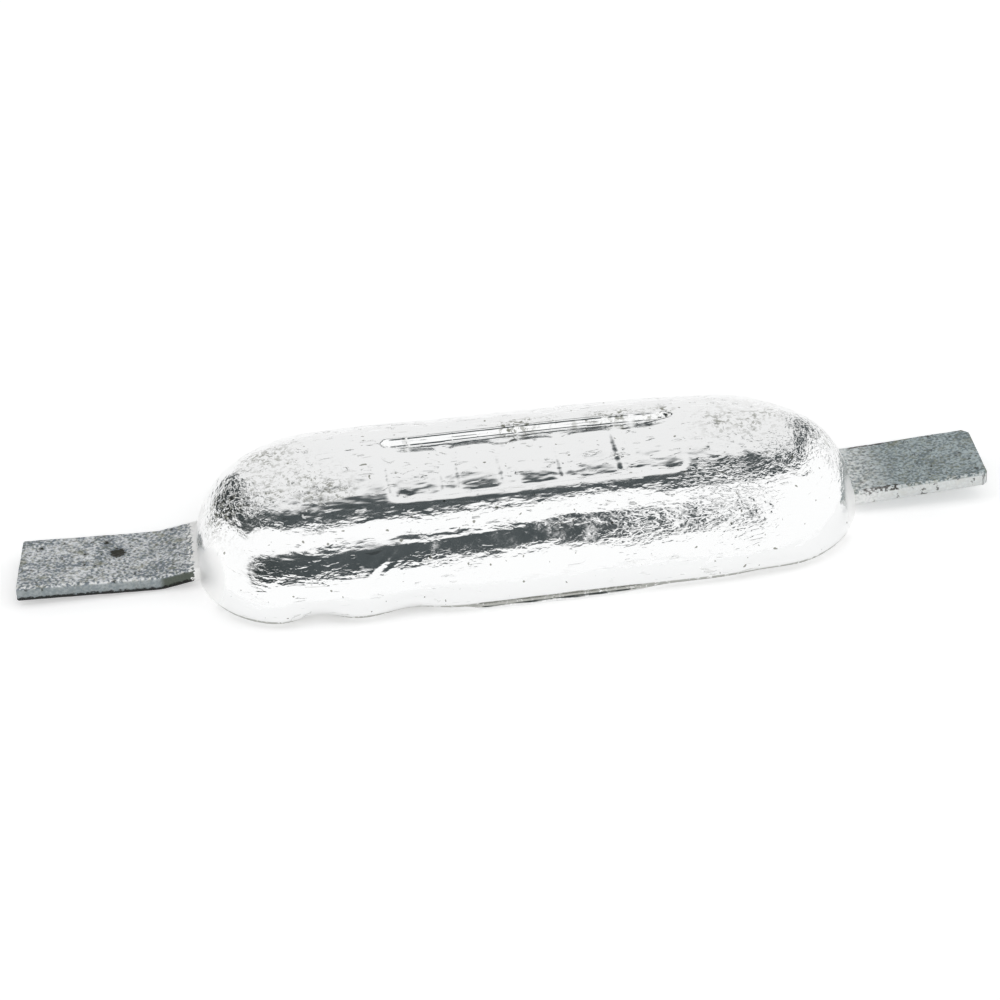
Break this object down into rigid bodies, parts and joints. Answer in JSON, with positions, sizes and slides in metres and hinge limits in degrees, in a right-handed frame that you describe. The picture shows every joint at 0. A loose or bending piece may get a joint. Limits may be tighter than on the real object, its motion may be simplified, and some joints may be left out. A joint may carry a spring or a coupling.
{
  "type": "sacrificial anode",
  "caption": "Weld-on hull anode: a pillow-shaped zinc casting with a sunk name panel, on a flat steel strap whose cranked and straight tails weld to the hull.",
  "frame": {"origin": "middle of the casting's poured back face, the face that lies against the hull", "axes": "+X along the strap towards the straight tail, +Z out of the back face towards the crown"},
  "size_m": [0.3027, 0.085, 0.0284],
  "materials": {
    "zinc": "bright as-cast zinc, wrinkled skin with cold laps, small pits and dark dross specks",
    "galvanised_steel": "dull hot-dip galvanised steel, mottled blue-grey with brown stains and dark pits"
  },
  "bodies": {
    "root": {"steel_strap": "galvanised_steel", "zinc_casting": "zinc"}
  },
  "joints": []
}
